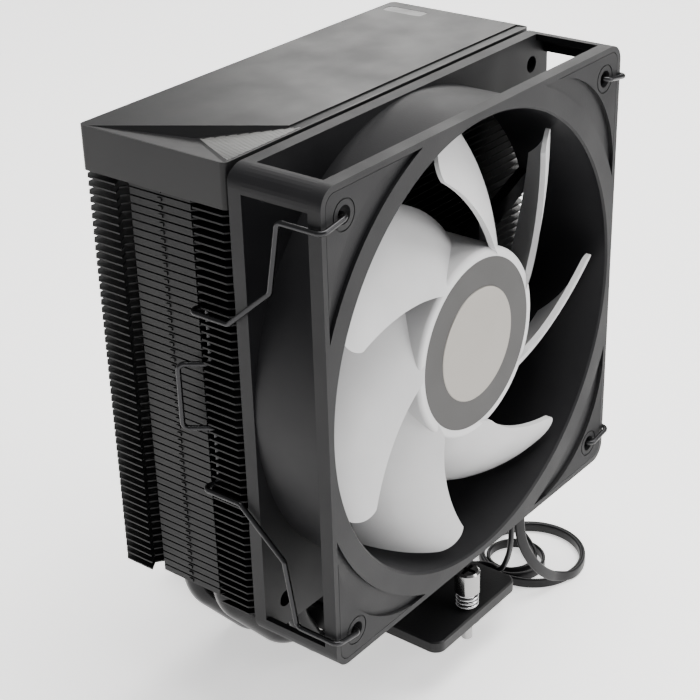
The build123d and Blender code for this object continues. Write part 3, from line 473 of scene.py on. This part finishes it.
board_black = finish("board_black", shade=(0.006, 0.010, 0.008), colour=(0.016, 0.026, 0.020),
                     roughness=0.34, grain=1800.0, relief=0.00002)
paint(board_black, "motor_pcb")
led_white = finish("led_white", shade=(0.70, 0.68, 0.52), colour=(0.86, 0.85, 0.74),
                   roughness=0.28, grain=2500.0, relief=0.00001)
paint(led_white, "leds")
label_foil = finish("label_foil", shade=(0.46, 0.46, 0.47), colour=(0.60, 0.60, 0.61),
                    roughness=0.38, grain=1400.0, relief=0.00001, metallic=0.6, stretch=(1, 1, 0.1))
paint(label_foil, "rear_label")
paint(cable_black, "motor_lead")

# ---- impeller ----------------------------------------------------------------
# Hub and seven blades moulded in one piece of frosted, milky plastic. The
# surface is dull and very fine.

frosted = finish("frosted", shade=(0.46, 0.46, 0.465), colour=(0.60, 0.60, 0.605),
                 roughness=0.46, grain=2600.0, relief=0.00002, spread=0.05)
paint(frosted, "impeller")

# ---- hub faces ---------------------------------------------------------------
# A matt grey foil ring round a raised disc of warm satin metal, both glued to
# the hub. Nothing is printed on either.

hub_grey = finish("hub_grey", shade=(0.045, 0.044, 0.044), colour=(0.062, 0.061, 0.060),
                  roughness=0.58, grain=2600.0, relief=0.00001)
paint(hub_grey, "hub_ring")
hub_silver = finish("hub_silver", shade=(0.20, 0.188, 0.172), colour=(0.30, 0.285, 0.262),
                    roughness=0.36, grain=2000.0, relief=0.00001, metallic=0.75)
paint(hub_silver, "hub_disc")

# ---- cup, magnet, shaft and washer -------------------------------------------
# Inside the hub: a drawn steel cup, a dark bonded magnet, a ground shaft and
# the nylon washer that holds the shaft in its bearing.

cup_steel = finish("cup_steel", shade=(0.34, 0.34, 0.35), colour=(0.50, 0.50, 0.51),
                   roughness=0.34, grain=1500.0, relief=0.00001, metallic=1.0)
paint(cup_steel, "rotor_cup", "rotor_shaft")
magnet_dark = finish("magnet_dark", shade=(0.030, 0.028, 0.026), colour=(0.055, 0.052, 0.050),
                     roughness=0.56, grain=1800.0, relief=0.00003)
paint(magnet_dark, "rotor_magnet")
washer_nylon = finish("washer_nylon", shade=(0.52, 0.50, 0.45), colour=(0.66, 0.64, 0.58),
                      roughness=0.46, grain=1800.0, relief=0.00001)
paint(washer_nylon, "shaft_washer")

# ---- wire clips --------------------------------------------------------------
# Bent spring wire with a dark shiny plating. The middle of each clip sits in
# the notches of the fins, and its ends hook into the fan's corner holes.

clip_wire = finish("clip_wire", shade=(0.020, 0.020, 0.021), colour=(0.044, 0.044, 0.046),
                   roughness=0.26, grain=1500.0, relief=0.00001, metallic=0.9)
paint(clip_wire, "wire_clip_left", "wire_clip_right")

# ---- floor and light ---------------------------------------------------------
# A plain pale table that glows a little, a big soft light over it, one behind
# and one in front to the right, and a weak one from the left.

floor_form = bmesh.new()
bmesh.ops.create_grid(floor_form, x_segments=1, y_segments=1, size=3.0)
floor = mesh_object("floor", floor_form)
table = finish("table", shade=(0.88, 0.875, 0.87), colour=(0.92, 0.917, 0.914),
               roughness=0.62, grain=60.0, relief=0.00001)
table_shader = table.node_tree.nodes["Principled BSDF"]
table_shader.inputs["Emission Color"].default_value = (1.0, 0.99, 0.985, 1.0)
table_shader.inputs["Emission Strength"].default_value = 0.9
floor.data.materials.append(table)


def soft_light(name, place, target, size, power, colour):
    """A square area light at place, facing target."""
    data = bpy.data.lights.new(name, "AREA")
    data.size = size
    data.energy = power
    data.color = colour
    lamp = new_object(name, data)
    lamp.location = place
    lamp.rotation_euler = (Vector(target) - Vector(place)).to_track_quat("-Z", "Y").to_euler()


soft_light("top", place=(0.25, -0.10, 1.20), target=(0, 0, 0.05), size=0.9,
           power=30.0, colour=(1.0, 0.99, 0.97))
soft_light("back_right", place=(1.05, 0.62, 0.72), target=(0.05, 0.0, 0.15), size=0.55,
           power=5.5, colour=(1.0, 0.985, 0.965))
soft_light("front_right", place=(0.45, -1.10, 0.60), target=(0, 0, 0.09), size=0.7,
           power=12.0, colour=(1.0, 0.99, 0.98))
soft_light("left", place=(-1.10, -0.35, 0.50), target=(0, 0, 0.09), size=0.6,
           power=0.5, colour=(0.97, 0.98, 1.0))
world = bpy.data.worlds.new("studio")
bpy.context.scene.world = world
world.use_nodes = True
background = world.node_tree.nodes["Background"]
background.inputs["Color"].default_value = (0.95, 0.95, 0.96, 1.0)
background.inputs["Strength"].default_value = 0.42
